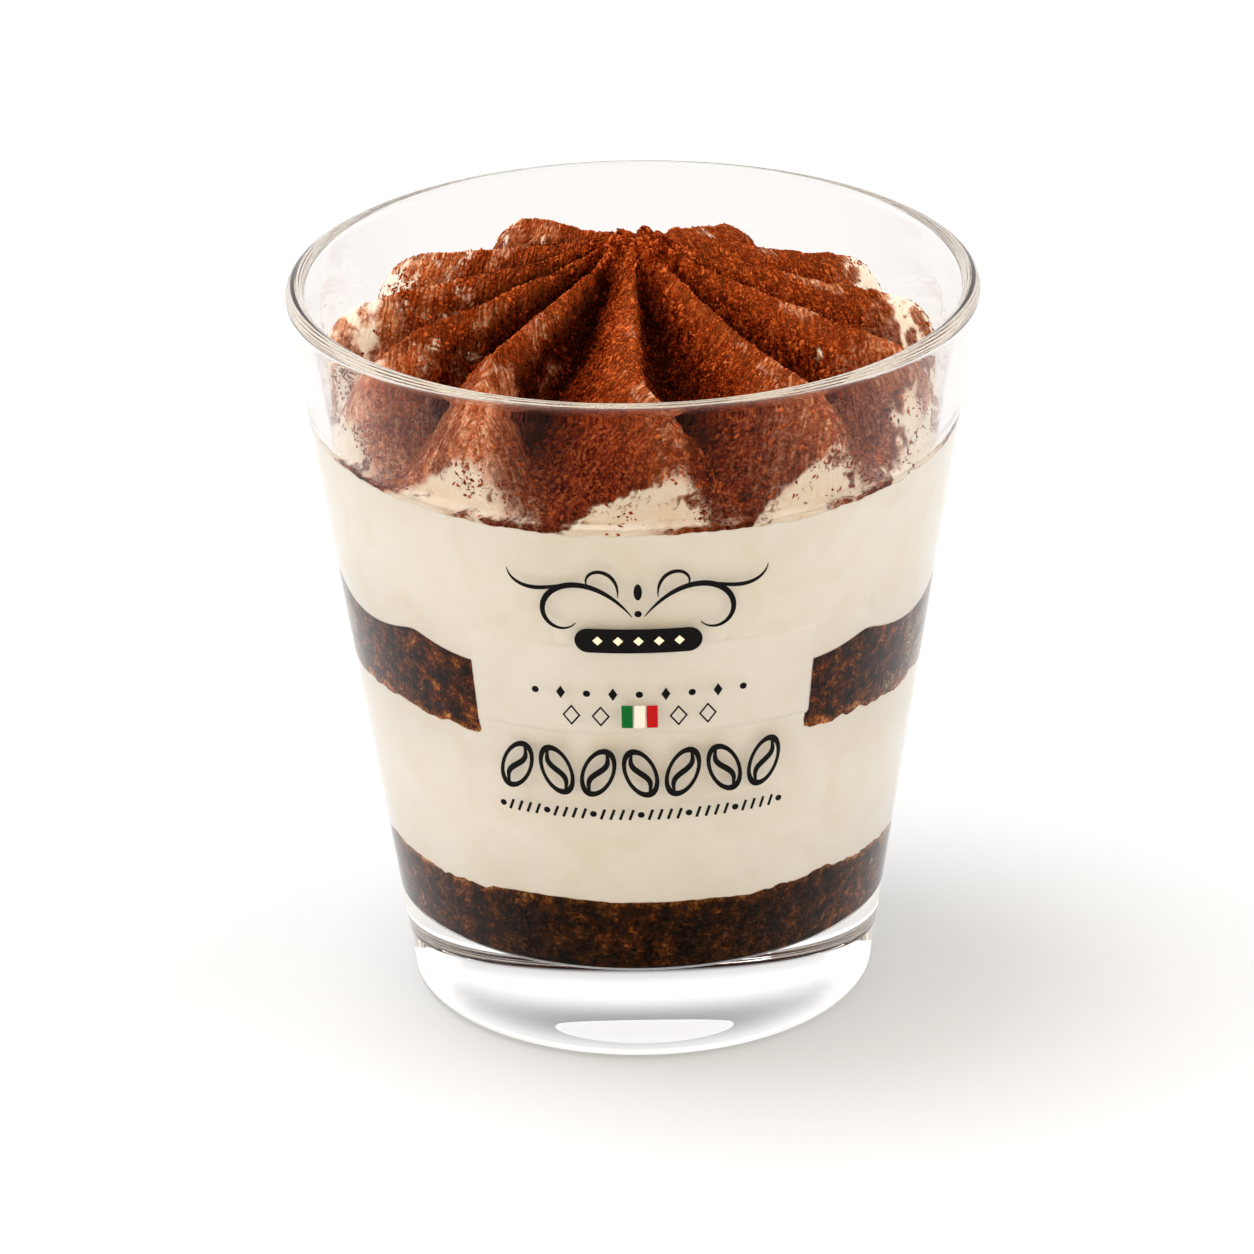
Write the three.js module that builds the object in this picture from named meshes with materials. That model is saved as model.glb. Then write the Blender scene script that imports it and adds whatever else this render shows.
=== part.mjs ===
// A single-serve tiramisu in its glass cup: two layers of coffee-soaked sponge, two layers of mascarpone cream and a
// star-piped rosette of cream on top, in a tapered tumbler with a thick clear base and a printed panel on its front.
// Millimetres, +Z up, the foot of the glass on z = 0. Azimuths are in degrees, 0 at the front (-Y) and 90 at +X.

import * as THREE from "three";
import { mergeVertices } from "three/addons/utils/BufferGeometryUtils.js";

// Driving dimensions of the glass.
const GLASS_HEIGHT = 82.7;
const RIM_RADIUS = 38;
const FOOT_RADIUS = 25.5;
const WALL_THICKNESS = 2.1;
const BASE_THICKNESS = 10.8;
const FOOT_ROUNDING = 1.8;
const FLOOR_FILLET = 3;
const FOOT_RING_INNER = 18.5;
const PUNT_RISE = 0.6;

// Heights of the layers, on the axis of the glass.
const LOWER_SPONGE_TOP = 19.9;
const UPPER_SPONGE_BOTTOM = 39.9;
const UPPER_SPONGE_TOP = 49.6;
const UPPER_CREAM_TOP = 68.1;
const FRONT_DIP = 1.5;

// The scallops that the piped lobes of the upper cream press into the sponge under them.
const SCALLOP_DEPTH = 2.4;
const SCALLOP_FIRST_CUSP = -48.5;

// The rosette: its peak, its widest reach, the height of its foot, and the radius from which its crests turn with the
// piping. A ridge leans: its right flank, steep, takes up this share of the way from its crest to the next one. Between
// these radii its leaning section passes into the rounded one of its nose.
const ROSETTE_PEAK = 87.6;
const ROSETTE_REACH = 33;
const ROSETTE_FOOT = 68;
const TURN_START = 22;
const STEEP_SHARE_INSIDE = 0.3;
const STEEP_SHARE_AT_WALL = 0.4;
const ROUNDING_FROM = 20;
const ROUNDING_TO = 31;

// What a ridge's own reach and drop do grows from none to all of it between these radii, and the drop fades out over
// this height above the foot.
const REACH_FROM = 10;
const REACH_TO = 30;
const DROP_FADE = 8;

// One entry for each piped ridge, anticlockwise from the front: where its crest lies, how far its outer end has turned
// with the piping, how much further or less than the usual reach it comes, and how much lower its outer end lies.
const RIDGES = [
  { azimuth: 0, turn: 7, reach: -0.6, drop: 0 },
  { azimuth: 36, turn: 3, reach: -0.6, drop: 0.2 },
  { azimuth: 68, turn: 3, reach: 0, drop: 0.8 },
  { azimuth: 97, turn: 1, reach: 0.7, drop: 1.5 },
  { azimuth: 124, turn: 0, reach: -0.6, drop: 1 },
  { azimuth: 157, turn: 1, reach: -2.4, drop: 0.4 },
  { azimuth: 204, turn: 2, reach: -0.6, drop: -0.4 },
  { azimuth: 236, turn: 1, reach: 0, drop: 0.3 },
  { azimuth: 265, turn: 3, reach: 0.9, drop: 0.4 },
  { azimuth: 292, turn: 5, reach: 0.2, drop: 0.3 },
  { azimuth: 320, turn: 8, reach: -0.8, drop: 0 },
];

// The printed panel on the front of the glass.
const PANEL_FROM = -34.5;
const PANEL_TO = 36.3;
const PANEL_BOTTOM = 41.6;
const PANEL_TOP = 53.5;
const PANEL_THICKNESS = 0.25;
const PANEL_CLEARANCE = 0.15;

// Behind the panel the underside of the upper sponge lies this much higher, up to the first azimuth on either side of
// the front, and by the second no longer.
const PANEL_LIFT = 1.1;
const LIFT_FULL_TO = 22;
const LIFT_NONE_FROM = 40;

// How finely the round solids and the dome of the punt are divided, and the gap between pieces that touch.
const GLASS_SEGMENTS = 64;
const PUNT_STEPS = 5;
const LAYER_SEGMENTS = 88;
const GAP = 0.3;

const COLOURS = {
  glass: 0xe9efee,
  sponge: 0x4a2513,
  cream: 0xefe3cb,
  cocoa: 0x7a3215,
  panel: 0xeadfca,
};

const degrees = THREE.MathUtils.degToRad;
const lerp = THREE.MathUtils.lerp;

// ---------------------------------------------------------------------------------------------------------------------
// The glass as a cone
// ---------------------------------------------------------------------------------------------------------------------

const WALL_SLOPE = (RIM_RADIUS - FOOT_RADIUS) / (GLASS_HEIGHT - WALL_THICKNESS / 2);

function outerWallRadius(z) {
  return FOOT_RADIUS + WALL_SLOPE * z;
}

function innerWallRadius(z) {
  return outerWallRadius(z) - WALL_THICKNESS;
}

// The radius that the food fills at a height, which is smaller near the floor, where the wall rounds into it.
function foodRadius(z) {
  const aboveFloor = z - BASE_THICKNESS;
  const shortfall = Math.max(0, FLOOR_FILLET - aboveFloor);
  const fillet = FLOOR_FILLET - Math.sqrt(Math.max(0, FLOOR_FILLET ** 2 - shortfall ** 2));
  return innerWallRadius(z) - GAP - fillet;
}

// Points of an arc in the profile plane, from one angle to another about a centre, in equal steps.
function arcPoints(centreR, centreZ, radius, fromAngle, toAngle, steps) {
  const points = [];
  for (let i = 0; i <= steps; i++) {
    const angle = degrees(lerp(fromAngle, toAngle, i / steps));
    points.push([centreR + radius * Math.cos(angle), centreZ + radius * Math.sin(angle)]);
  }
  return points;
}

// ---------------------------------------------------------------------------------------------------------------------
// Turned solids: a lathe whose profile may change as it goes round
// ---------------------------------------------------------------------------------------------------------------------

// placeAt(turn, point) gives { azimuth, r, z } of one profile point after a number of the lathe's turns. The first and
// the last point of the profile lie on the axis, which closes the solid.
function turnedSolid(pointCount, segments, placeAt) {
  const blank = [];
  for (let j = 0; j < pointCount; j++) blank.push(new THREE.Vector2(1, j));
  const geometry = new THREE.LatheGeometry(blank, segments);
  const position = geometry.getAttribute("position");
  for (let i = 0; i <= segments; i++) {
    for (let j = 0; j < pointCount; j++) {
      const { azimuth, r, z } = placeAt(i % segments, j);
      const angle = degrees(azimuth);
      position.setXYZ(i * pointCount + j, r * Math.sin(angle), -r * Math.cos(angle), z);
    }
  }
  return sealed(geometry);
}

// Merges the seam and the poles of a geometry, so that it is one closed surface.
function sealed(geometry) {
  geometry.deleteAttribute("normal");
  geometry.deleteAttribute("uv");
  const merged = mergeVertices(geometry, 1e-4);
  merged.computeVertexNormals();
  return merged;
}

function namedMesh(name, geometry, material) {
  const mesh = new THREE.Mesh(geometry, new THREE.MeshStandardMaterial(material));
  mesh.name = name;
  return mesh;
}

// ---------------------------------------------------------------------------------------------------------------------
// The glass: foot ring, shallow domed punt, straight tapered wall and a fire-polished lip
// ---------------------------------------------------------------------------------------------------------------------

function glassProfile() {
  const taper = THREE.MathUtils.radToDeg(Math.atan(WALL_SLOPE));
  const lipRadius = WALL_THICKNESS / 2;
  const lipZ = GLASS_HEIGHT - lipRadius;
  const lipR = outerWallRadius(lipZ) - lipRadius;
  const footR = outerWallRadius(FOOT_ROUNDING) - FOOT_ROUNDING;
  const filletZ = BASE_THICKNESS + FLOOR_FILLET;
  const filletR = innerWallRadius(filletZ) - FLOOR_FILLET;
  const punt = [];
  for (let i = 0; i < PUNT_STEPS; i++) {
    const share = i / PUNT_STEPS;
    punt.push([share * FOOT_RING_INNER, (PUNT_RISE * (1 + Math.cos(Math.PI * share))) / 2]);
  }
  return [
    ...punt,
    [FOOT_RING_INNER, 0],
    ...arcPoints(footR, FOOT_ROUNDING, FOOT_ROUNDING, -90, -taper, 4),
    ...arcPoints(lipR, lipZ, lipRadius, -taper, 180 - taper, 6),
    ...arcPoints(filletR, filletZ, FLOOR_FILLET, -taper, -90, 4),
    [0, BASE_THICKNESS],
  ];
}

function makeGlass() {
  const profile = glassProfile();
  const geometry = turnedSolid(profile.length, GLASS_SEGMENTS, (turn, point) => ({
    azimuth: (360 * turn) / GLASS_SEGMENTS,
    r: profile[point][0],
    z: profile[point][1],
  }));
  return namedMesh("glass", geometry, {
    color: COLOURS.glass,
    roughness: 0.05,
    metalness: 0,
    transparent: true,
    opacity: 0.35,
  });
}

// ---------------------------------------------------------------------------------------------------------------------
// The four layers
// ---------------------------------------------------------------------------------------------------------------------

// The surfaces between the layers, as heights over a point of the glass. share is the distance from the axis as a share
// of the way to the wall. Each is as uneven as spooned cream and broken sponge are.
function waves(azimuth, phase) {
  const angle = degrees(azimuth + phase);
  return Math.sin(2 * angle) * 0.5 + Math.sin(5 * angle + 1) * 0.3 + Math.sin(9 * angle + 2) * 0.15;
}

function lowerSpongeTop(share, azimuth) {
  return LOWER_SPONGE_TOP + share * 0.8 * waves(azimuth, 25) - share * 0.3 * Math.sin(degrees(azimuth));
}

function upperSpongeBottom(share, azimuth) {
  const fromFront = Math.abs(((azimuth + 180) % 360) - 180);
  const behindPanel = 1 - THREE.MathUtils.smoothstep(fromFront, LIFT_FULL_TO, LIFT_NONE_FROM);
  const uneven = 0.7 * waves(azimuth, -20) - 0.8 * Math.sin(degrees(azimuth)) + PANEL_LIFT * behindPanel;
  return UPPER_SPONGE_BOTTOM + share * uneven;
}

// The cream above sags into the sponge in rounded lobes, one under each ridge of the rosette, that meet in cusps.
function upperSpongeTop(share, azimuth) {
  const pitch = 360 / RIDGES.length;
  const along = (((azimuth - SCALLOP_FIRST_CUSP) % pitch) + pitch) % pitch;
  const lobe = Math.sin((Math.PI * along) / pitch) ** 0.6;
  const scallop = SCALLOP_DEPTH * (0.45 - lobe) * share ** 3;
  return UPPER_SPONGE_TOP + 0.6 + scallop - share * 0.7 * Math.sin(degrees(azimuth));
}

function upperCreamTop(share, azimuth) {
  return UPPER_CREAM_TOP - share * FRONT_DIP * Math.cos(degrees(azimuth)) + share * 0.4 * waves(azimuth, 70);
}

// A layer between two of those surfaces, out to the wall. The floor of the glass, where the layer lies on it, is flat.
const RING_SHARES = [0, 0.45, 0.8, 1];

function makeLayer(name, colour, bottomAt, topAt) {
  const rings = RING_SHARES.length;
  const geometry = turnedSolid(2 * rings, LAYER_SEGMENTS, (turn, point) => {
    const azimuth = (360 * turn) / LAYER_SEGMENTS;
    const isTop = point >= rings;
    const share = RING_SHARES[isTop ? 2 * rings - 1 - point : point];
    const z = isTop ? topAt(share, azimuth) : bottomAt(share, azimuth) + GAP;
    return { azimuth, r: share * foodRadius(z), z };
  });
  return namedMesh(name, geometry, { color: colour, roughness: 0.8, metalness: 0 });
}

// ---------------------------------------------------------------------------------------------------------------------
// The rosette
// ---------------------------------------------------------------------------------------------------------------------

// Sections through a ridge along its crest and along the valley beside it, each a smooth curve from the peak to the foot
// of the ridge's rounded end.
const crestSection = new THREE.SplineCurve(
  [
    [0, ROSETTE_PEAK],
    [2.6, 87.2],
    [6, 85.8],
    [10, 84.5],
    [16, 83],
    [22, 81.6],
    [27, 80.4],
    [30.5, 79],
    [32.4, 76.6],
    [33.2, 73],
    [ROSETTE_REACH, ROSETTE_FOOT],
  ].map(([r, z]) => new THREE.Vector2(r, z)),
);
const valleySection = new THREE.SplineCurve(
  [
    [0, ROSETTE_PEAK],
    [2.2, 86.8],
    [4.6, 84],
    [8, 80.6],
    [13, 77],
    [18.5, 74],
    [24, 71.6],
    [28.5, 69.8],
    [31.2, 68.9],
    [32.5, 68.4],
    [ROSETTE_REACH, ROSETTE_FOOT],
  ].map(([r, z]) => new THREE.Vector2(r, z)),
);

// Where the samples across a ridge lie, from the valley on its left (-1) over the crest (0) towards the valley on its
// right (1), closest together on the narrow crest.
const ACROSS = [-1, -0.8, -0.6, -0.4, -0.22, -0.09, 0, 0.13, 0.36, 0.68];
const SECTION_STEPS = 18;

function ridgeAt(index) {
  const count = RIDGES.length;
  const lap = Math.floor(index / count);
  const ridge = RIDGES[index - lap * count];
  return { ...ridge, azimuth: ridge.azimuth + 360 * lap };
}

// A crest turns with the piping towards its outer end.
function crestAzimuth(ridge, r) {
  return ridge.azimuth + ridge.turn * THREE.MathUtils.smoothstep(r, TURN_START, ROSETTE_REACH);
}

function valleyAzimuth(left, right, r) {
  const outward = THREE.MathUtils.smoothstep(r, TURN_START, ROSETTE_REACH);
  const share = lerp(STEEP_SHARE_INSIDE, STEEP_SHARE_AT_WALL, outward);
  return lerp(crestAzimuth(left, r), crestAzimuth(right, r), share);
}

// The height across a ridge as a share of the way from the valley to the crest. The left flank is long and swells a
// little, the right flank falls away hollow, and towards the nose both grow round.
function ridgeHeight(across, r) {
  const rounding = THREE.MathUtils.smoothstep(r, ROUNDING_FROM, ROUNDING_TO);
  const roundHeight = Math.cos((Math.PI / 2) * across) ** 1.6;
  const leaningHeight = across < 0 ? 1 - Math.abs(across) ** 1.15 : (1 - across) ** 1.45;
  return lerp(leaningHeight, roundHeight, rounding);
}

function rosettePoint(turn, step) {
  const index = Math.floor(turn / ACROSS.length);
  const across = ACROSS[turn % ACROSS.length];
  const ridge = ridgeAt(index);
  const along = step / SECTION_STEPS;
  const crest = crestSection.getPoint(along);
  const valley = valleySection.getPoint(along);
  const height = ridgeHeight(across, valley.x);
  const r = lerp(valley.x, crest.x, height);
  const z = lerp(valley.y, crest.y, height);
  const isLeft = across < 0;
  const valleyAt = isLeft
    ? valleyAzimuth(ridgeAt(index - 1), ridge, r)
    : valleyAzimuth(ridge, ridgeAt(index + 1), r);
  const azimuth = lerp(crestAzimuth(ridge, r), valleyAt, Math.abs(across));
  const outer = (1 - Math.abs(across)) * THREE.MathUtils.smoothstep(r, REACH_FROM, REACH_TO);
  const aboveFoot = THREE.MathUtils.smoothstep(z, ROSETTE_FOOT, ROSETTE_FOOT + DROP_FADE);
  return {
    azimuth,
    r: r * (1 + (outer * ridge.reach) / ROSETTE_REACH),
    z: z - ridge.drop * outer * aboveFoot,
  };
}

function makeRosette() {
  const turns = ACROSS.length * RIDGES.length;
  const undersideRings = 3;
  const pointCount = undersideRings + SECTION_STEPS + 1;
  const geometry = turnedSolid(pointCount, turns, (turn, point) => {
    if (point > undersideRings) {
      return rosettePoint(turn, pointCount - 1 - point);
    }
    const rim = rosettePoint(turn, SECTION_STEPS);
    const share = point / undersideRings;
    const r = Math.min(rim.r * share, foodRadius(UPPER_CREAM_TOP));
    return { azimuth: rim.azimuth, r, z: upperCreamTop(r / foodRadius(UPPER_CREAM_TOP), rim.azimuth) + GAP };
  });
  return namedMesh("cream_rosette", geometry, { color: COLOURS.cocoa, roughness: 0.95, metalness: 0 });
}

// ---------------------------------------------------------------------------------------------------------------------
// The printed panel: a thin block of opaque ink, bent round the front of the glass
// ---------------------------------------------------------------------------------------------------------------------

function makePanel() {
  const facets = 16;
  const geometry = new THREE.BoxGeometry(1, 1, 1, facets, 1, 1);
  const position = geometry.getAttribute("position");
  for (let i = 0; i < position.count; i++) {
    const angle = degrees(lerp(PANEL_FROM, PANEL_TO, position.getX(i) + 0.5));
    const z = lerp(PANEL_BOTTOM, PANEL_TOP, position.getZ(i) + 0.5);
    const inner = outerWallRadius(z) + PANEL_CLEARANCE;
    const r = inner + PANEL_THICKNESS * (0.5 - position.getY(i));
    position.setXYZ(i, r * Math.sin(angle), -r * Math.cos(angle), z);
  }
  return namedMesh("label_panel", sealed(geometry), { color: COLOURS.panel, roughness: 0.6, metalness: 0 });
}

const tiramisu = new THREE.Group();
tiramisu.add(makeGlass());
tiramisu.add(makeLayer("sponge_bottom", COLOURS.sponge, () => BASE_THICKNESS, lowerSpongeTop));
tiramisu.add(makeLayer("cream_lower", COLOURS.cream, lowerSpongeTop, upperSpongeBottom));
tiramisu.add(makeLayer("sponge_middle", COLOURS.sponge, upperSpongeBottom, upperSpongeTop));
tiramisu.add(makeLayer("cream_upper", COLOURS.cream, upperSpongeTop, upperCreamTop));
tiramisu.add(makeRosette());
tiramisu.add(makePanel());

export default tiramisu;
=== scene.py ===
import math

import bpy
import numpy as np
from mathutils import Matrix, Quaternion, Vector


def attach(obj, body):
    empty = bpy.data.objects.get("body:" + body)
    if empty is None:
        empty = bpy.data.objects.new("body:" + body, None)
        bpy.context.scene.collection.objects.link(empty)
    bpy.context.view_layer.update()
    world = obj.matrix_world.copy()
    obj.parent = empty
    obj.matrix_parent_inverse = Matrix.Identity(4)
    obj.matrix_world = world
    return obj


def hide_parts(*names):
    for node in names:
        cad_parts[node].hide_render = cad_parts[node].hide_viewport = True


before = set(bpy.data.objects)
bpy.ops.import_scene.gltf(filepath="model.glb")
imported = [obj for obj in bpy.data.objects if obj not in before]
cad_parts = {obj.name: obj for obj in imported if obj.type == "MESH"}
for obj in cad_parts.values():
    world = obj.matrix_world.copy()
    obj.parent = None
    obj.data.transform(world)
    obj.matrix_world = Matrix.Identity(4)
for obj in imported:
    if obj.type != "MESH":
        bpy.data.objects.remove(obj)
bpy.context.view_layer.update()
bpy.ops.object.select_all(action="DESELECT")

# --------------------------------------------------------------------------------------------------
# Camera
# --------------------------------------------------------------------------------------------------
# A long portrait lens at a little under a metre, looking down into the glass from the front, with enough
# bounces for light that crosses the wall, the base and the lip of the glass many times before it gets out.

MM = 0.001
LENS = 224.1
SENSOR = 36
CAMERA_DISTANCE = 870.75 * MM
CAMERA_ELEVATION = math.radians(23.77)
CAMERA_ROLL = math.radians(0.94)
TARGET = Vector((0, 0, 38 * MM))
AIM_LEFT = 1.261 * MM
AIM_UP = 2.79 * MM
GLASS_BOUNCES = 36
MIRROR_BOUNCES = 12
MATT_BOUNCES = 8

back = Vector((0, -math.cos(CAMERA_ELEVATION), math.sin(CAMERA_ELEVATION)))
picture_up = Vector((0, math.sin(CAMERA_ELEVATION), math.cos(CAMERA_ELEVATION)))
bpy.ops.object.camera_add(location=TARGET + back * CAMERA_DISTANCE)
camera = bpy.context.active_object
camera.data.lens = LENS
camera.data.sensor_width = SENSOR
camera.data.clip_start = 0.01
camera.data.clip_end = 50
aim = TARGET - Vector((AIM_LEFT, 0, 0)) + picture_up * AIM_UP
camera.rotation_mode = "QUATERNION"
level = (aim - camera.location).to_track_quat("-Z", "Y")
camera.rotation_quaternion = level @ Quaternion((0, 0, 1), -CAMERA_ROLL)
bpy.context.scene.camera = camera
bpy.context.scene.view_settings.view_transform = "Standard"
light_paths = bpy.context.scene.cycles
light_paths.max_bounces = GLASS_BOUNCES
light_paths.transmission_bounces = GLASS_BOUNCES
light_paths.glossy_bounces = MIRROR_BOUNCES
light_paths.diffuse_bounces = MATT_BOUNCES

# --------------------------------------------------------------------------------------------------
# Studio
# --------------------------------------------------------------------------------------------------
# A white table top that glows a little, as a light table does, one large soft box
# overhead and a little to the left, and white walls all round: brightest at the two
# sides, darker at the back and overhead, and darker and warmer behind the camera.

TABLE_SIZE = 8
TABLE_GAP = 0.02
TABLE_WHITE = "#BCBEC1"
WHITE = "#FFFFFF"
TABLE_GLOW = 0.31
KEY_DIRECTION = Vector((-0.22, 0.08, 1.0)).normalized()
KEY_DISTANCE = 4.0
KEY_SIZE = 1.9
KEY_POWER = 84
WALL_BRIGHTNESS = 3.75
FRONT_TINT = "#FFE2B5"
# Shares that the walls' brightness is multiplied by: the axis along which a share changes, the two places
# on it between which it does, and the share at each.
WALL_SHARES = [
    ("Y", -0.9, 0.0, 0.57, 1.0),
    ("X", -0.95, 0.0, 1.3, 1.0),
    ("X", 0.0, 0.95, 1.0, 1.2),
    ("Y", 0.15, 0.7, 1.0, 0.32),
    ("Z", 0.28, 0.74, 1.0, 0.15),
]


def colour(code):
    """An sRGB hex code as a linear colour."""
    shares = [int(code[i : i + 2], 16) / 255 for i in (1, 3, 5)]
    return tuple(s / 12.92 if s <= 0.04045 else ((s + 0.055) / 1.055) ** 2.4 for s in shares) + (1,)


def feed(fed, inputs):
    """Gives sockets of a node their value, or the node or the output that feeds them."""
    for socket, value in inputs.items():
        if isinstance(value, bpy.types.Node):
            value = next(output for output in value.outputs if output.enabled)
        if isinstance(value, bpy.types.NodeSocket):
            fed.id_data.links.new(value, fed.inputs[socket])
        else:
            fed.inputs[socket].default_value = value


def node(tree, kind, inputs=None, stops=None, **settings):
    """Adds a shader node, with the colours of its ramp if it has one, and feeds its sockets."""
    made = tree.nodes.new("ShaderNode" + kind)
    for name, value in settings.items():
        setattr(made, name, value)
    if stops:
        ramp = made.color_ramp
        while len(ramp.elements) < len(stops):
            ramp.elements.new(0.5)
        for element, (place, shade) in zip(ramp.elements, stops):
            element.position = place
            element.color = colour(shade)
    feed(made, inputs or {})
    return made


def new_finish(name, roughness, shine):
    """A new material with its node tree and its shader, of that roughness and strength of mirror image."""
    made = bpy.data.materials.new(name)
    made.use_nodes = True
    shader = made.node_tree.nodes["Principled BSDF"]
    feed(shader, {"Roughness": roughness, "Specular IOR Level": shine})
    return made, made.node_tree, shader


bpy.ops.mesh.primitive_plane_add(size=TABLE_SIZE, location=(0, 0, -TABLE_GAP * MM))
floor = bpy.context.active_object
floor.name = "floor"
table_top, tree, board = new_finish("white_table_top", 0.9, 0.1)
glow = {"Emission Color": colour(WHITE), "Emission Strength": TABLE_GLOW}
feed(board, {"Base Color": colour(TABLE_WHITE), **glow})
floor.data.materials.append(table_top)

bpy.ops.object.light_add(type="AREA", location=KEY_DIRECTION * KEY_DISTANCE)
soft_box = bpy.context.active_object
soft_box.data.shape = "DISK"
soft_box.data.size = KEY_SIZE
soft_box.data.energy = KEY_POWER
soft_box.rotation_mode = "QUATERNION"
soft_box.rotation_quaternion = (-KEY_DIRECTION).to_track_quat("-Z", "Y")

world = bpy.data.worlds.new("white_room")
bpy.context.scene.world = world
world.use_nodes = True
room = world.node_tree
towards = node(room, "SeparateXYZ", {0: node(room, "TexCoord").outputs["Generated"]})
brightness = WALL_BRIGHTNESS
for axis, start, end, share_at_start, share_at_end in WALL_SHARES:
    share = node(
        room,
        "MapRange",
        {0: towards.outputs[axis], 1: start, 2: end, 3: share_at_start, 4: share_at_end},
        interpolation_type="SMOOTHSTEP",
    )
    brightness = node(room, "Math", {0: brightness, 1: share}, operation="MULTIPLY")
from_front = node(room, "MapRange", {0: towards.outputs["Y"], 1: -0.9, 2: 0.0})
wall_tint = node(room, "ValToRGB", {0: from_front}, stops=[(0.0, FRONT_TINT), (1.0, WHITE)])
walls = room.nodes["Background"]
feed(walls, {"Color": wall_tint, "Strength": brightness})
backdrop = node(room, "Background", {"Color": colour(WHITE), "Strength": 1.0})
seen = node(room, "LightPath").outputs["Is Camera Ray"]
feed(room.nodes["World Output"], {"Surface": node(room, "MixShader", {0: seen, 1: walls, 2: backdrop})})

# --------------------------------------------------------------------------------------------------
# Glass
# --------------------------------------------------------------------------------------------------
# A pressed soda-lime tumbler: a straight tapered wall, a fire-polished lip, and a thick clear base with a
# shallow domed punt and a foot ring. It is turned from its profile, as the mould and the plunger shape it.

GLASS_HEIGHT = 82.7
RIM_RADIUS = 38.0
FOOT_RADIUS = 25.5
WALL = 2.1
BASE = 10.8
FOOT_ROUNDING = 1.8
FLOOR_FILLET = 3.0
FOOT_RING_INNER = 18.5
FOOT_RING_EDGE = 19.3
FOOT_RING_MIDDLE = 21.4
PUNT_RISE = 0.6
PUNT_STEPS = 16
TURNED_STEPS = 288
GLASS_TINT = "#F3F1F0"
VEIL_SHARE = "#343434"
WALL_SLOPE = (RIM_RADIUS - FOOT_RADIUS) / (GLASS_HEIGHT - WALL / 2)
TAPER = math.degrees(math.atan(WALL_SLOPE))


def outer_wall(z):
    return FOOT_RADIUS + WALL_SLOPE * z


def inner_wall(z):
    return outer_wall(z) - WALL


def arc(centre, radius, start, end, steps):
    """Points of an arc in the profile plane, in equal steps."""
    angles = [math.radians(start + (end - start) * i / steps) for i in range(steps + 1)]
    return [(centre[0] + radius * math.cos(a), centre[1] + radius * math.sin(a)) for a in angles]


def turned(name, profile, steps):
    """A profile of (radius, height) in millimetres, from axis to axis, spun round the axis of the glass."""
    bpy.ops.mesh.primitive_plane_add(size=MM)
    made = bpy.context.active_object
    made.name = made.data.name = name
    bpy.ops.object.mode_set(mode="EDIT")
    bpy.ops.mesh.merge(type="CENTER")
    places = [Vector((0, -r, z)) * MM for r, z in profile]
    bpy.ops.transform.translate(value=places[0])
    for here, there in zip(places, places[1:]):
        bpy.ops.mesh.extrude_vertices_move(TRANSFORM_OT_translate={"value": there - here})
    bpy.ops.mesh.select_all(action="SELECT")
    bpy.ops.mesh.spin(steps=steps, angle=math.tau, center=(0, 0, 0), axis=(0, 0, 1))
    bpy.ops.mesh.select_all(action="SELECT")
    bpy.ops.mesh.remove_doubles(threshold=2e-6)
    bpy.ops.mesh.normals_make_consistent(inside=False)
    bpy.ops.object.mode_set(mode="OBJECT")
    bpy.ops.object.shade_smooth()
    return made


def keep(piece, material, node_name=None):
    """Gives a finished piece its material and its place in the frame."""
    piece.data.materials.clear()
    piece.data.materials.append(material)
    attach(piece, "root")
    if node_name:
        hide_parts(node_name)
    piece.select_set(False)


lip_radius = WALL / 2
lip_z = GLASS_HEIGHT - lip_radius
lip_r = outer_wall(lip_z) - lip_radius
foot_r = outer_wall(FOOT_ROUNDING) - FOOT_ROUNDING
fillet_z = BASE + FLOOR_FILLET
fillet_r = inner_wall(fillet_z) - FLOOR_FILLET
wall_heights = [4, 10, 20, 30, 40, 50, 60, 70, 78, 80.8]
punt_radii = [FOOT_RING_INNER * i / PUNT_STEPS for i in range(PUNT_STEPS + 1)]
profile = [(r, PUNT_RISE * (0.5 + 0.5 * math.cos(math.pi * r / FOOT_RING_INNER))) for r in punt_radii]
profile += [(FOOT_RING_EDGE, 0), (FOOT_RING_MIDDLE, 0)]
profile += arc((foot_r, FOOT_ROUNDING), FOOT_ROUNDING, -90, -TAPER, 10)
profile += [(outer_wall(z), z) for z in wall_heights]
profile += arc((lip_r, lip_z), lip_radius, -TAPER, 180 - TAPER, 16)
profile += [(inner_wall(z), z) for z in reversed(wall_heights[2:])]
profile += arc((fillet_r, fillet_z), FLOOR_FILLET, -TAPER, -90, 12)
profile += [(r, BASE) for r in (fillet_r - 1, 12, 5, 0)]

glass = turned("tumbler", profile, TURNED_STEPS)
# Soda-lime glass, pressed and fire polished: clear, mirror smooth, with the
# neutral edge of a thick clear wall. Its mirror image of the white floor is
# weak, as through the filter that keeps such a veil off glassware.
clear_glass, tree, pane = new_finish("soda_lime_glass", 0.0, 0.5)
clear = {"IOR": 1.5, "Transmission Weight": 1.0, "Specular Tint": colour(VEIL_SHARE)}
feed(pane, {"Base Color": colour(GLASS_TINT), **clear})
keep(glass, clear_glass, "glass")

# --------------------------------------------------------------------------------------------------
# Lower sponge
# --------------------------------------------------------------------------------------------------
# Sponge fingers soaked in coffee and pressed onto the floor of the glass. The crumb is nearly black where
# it is soaked through and amber where the coffee is thin, lighter towards the left and right, with small
# pale specks that are painted glints, and it breaks off unevenly at its upper edge.

LOWER_SPONGE_TOP = 19.9
SPONGE_SINK = 0.34
AIR_UNDER_SPONGE = 0.15
DEEPEST_PORE = -0.19
WALL_ROWS = 24
SPONGE_TURNS = 640


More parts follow.
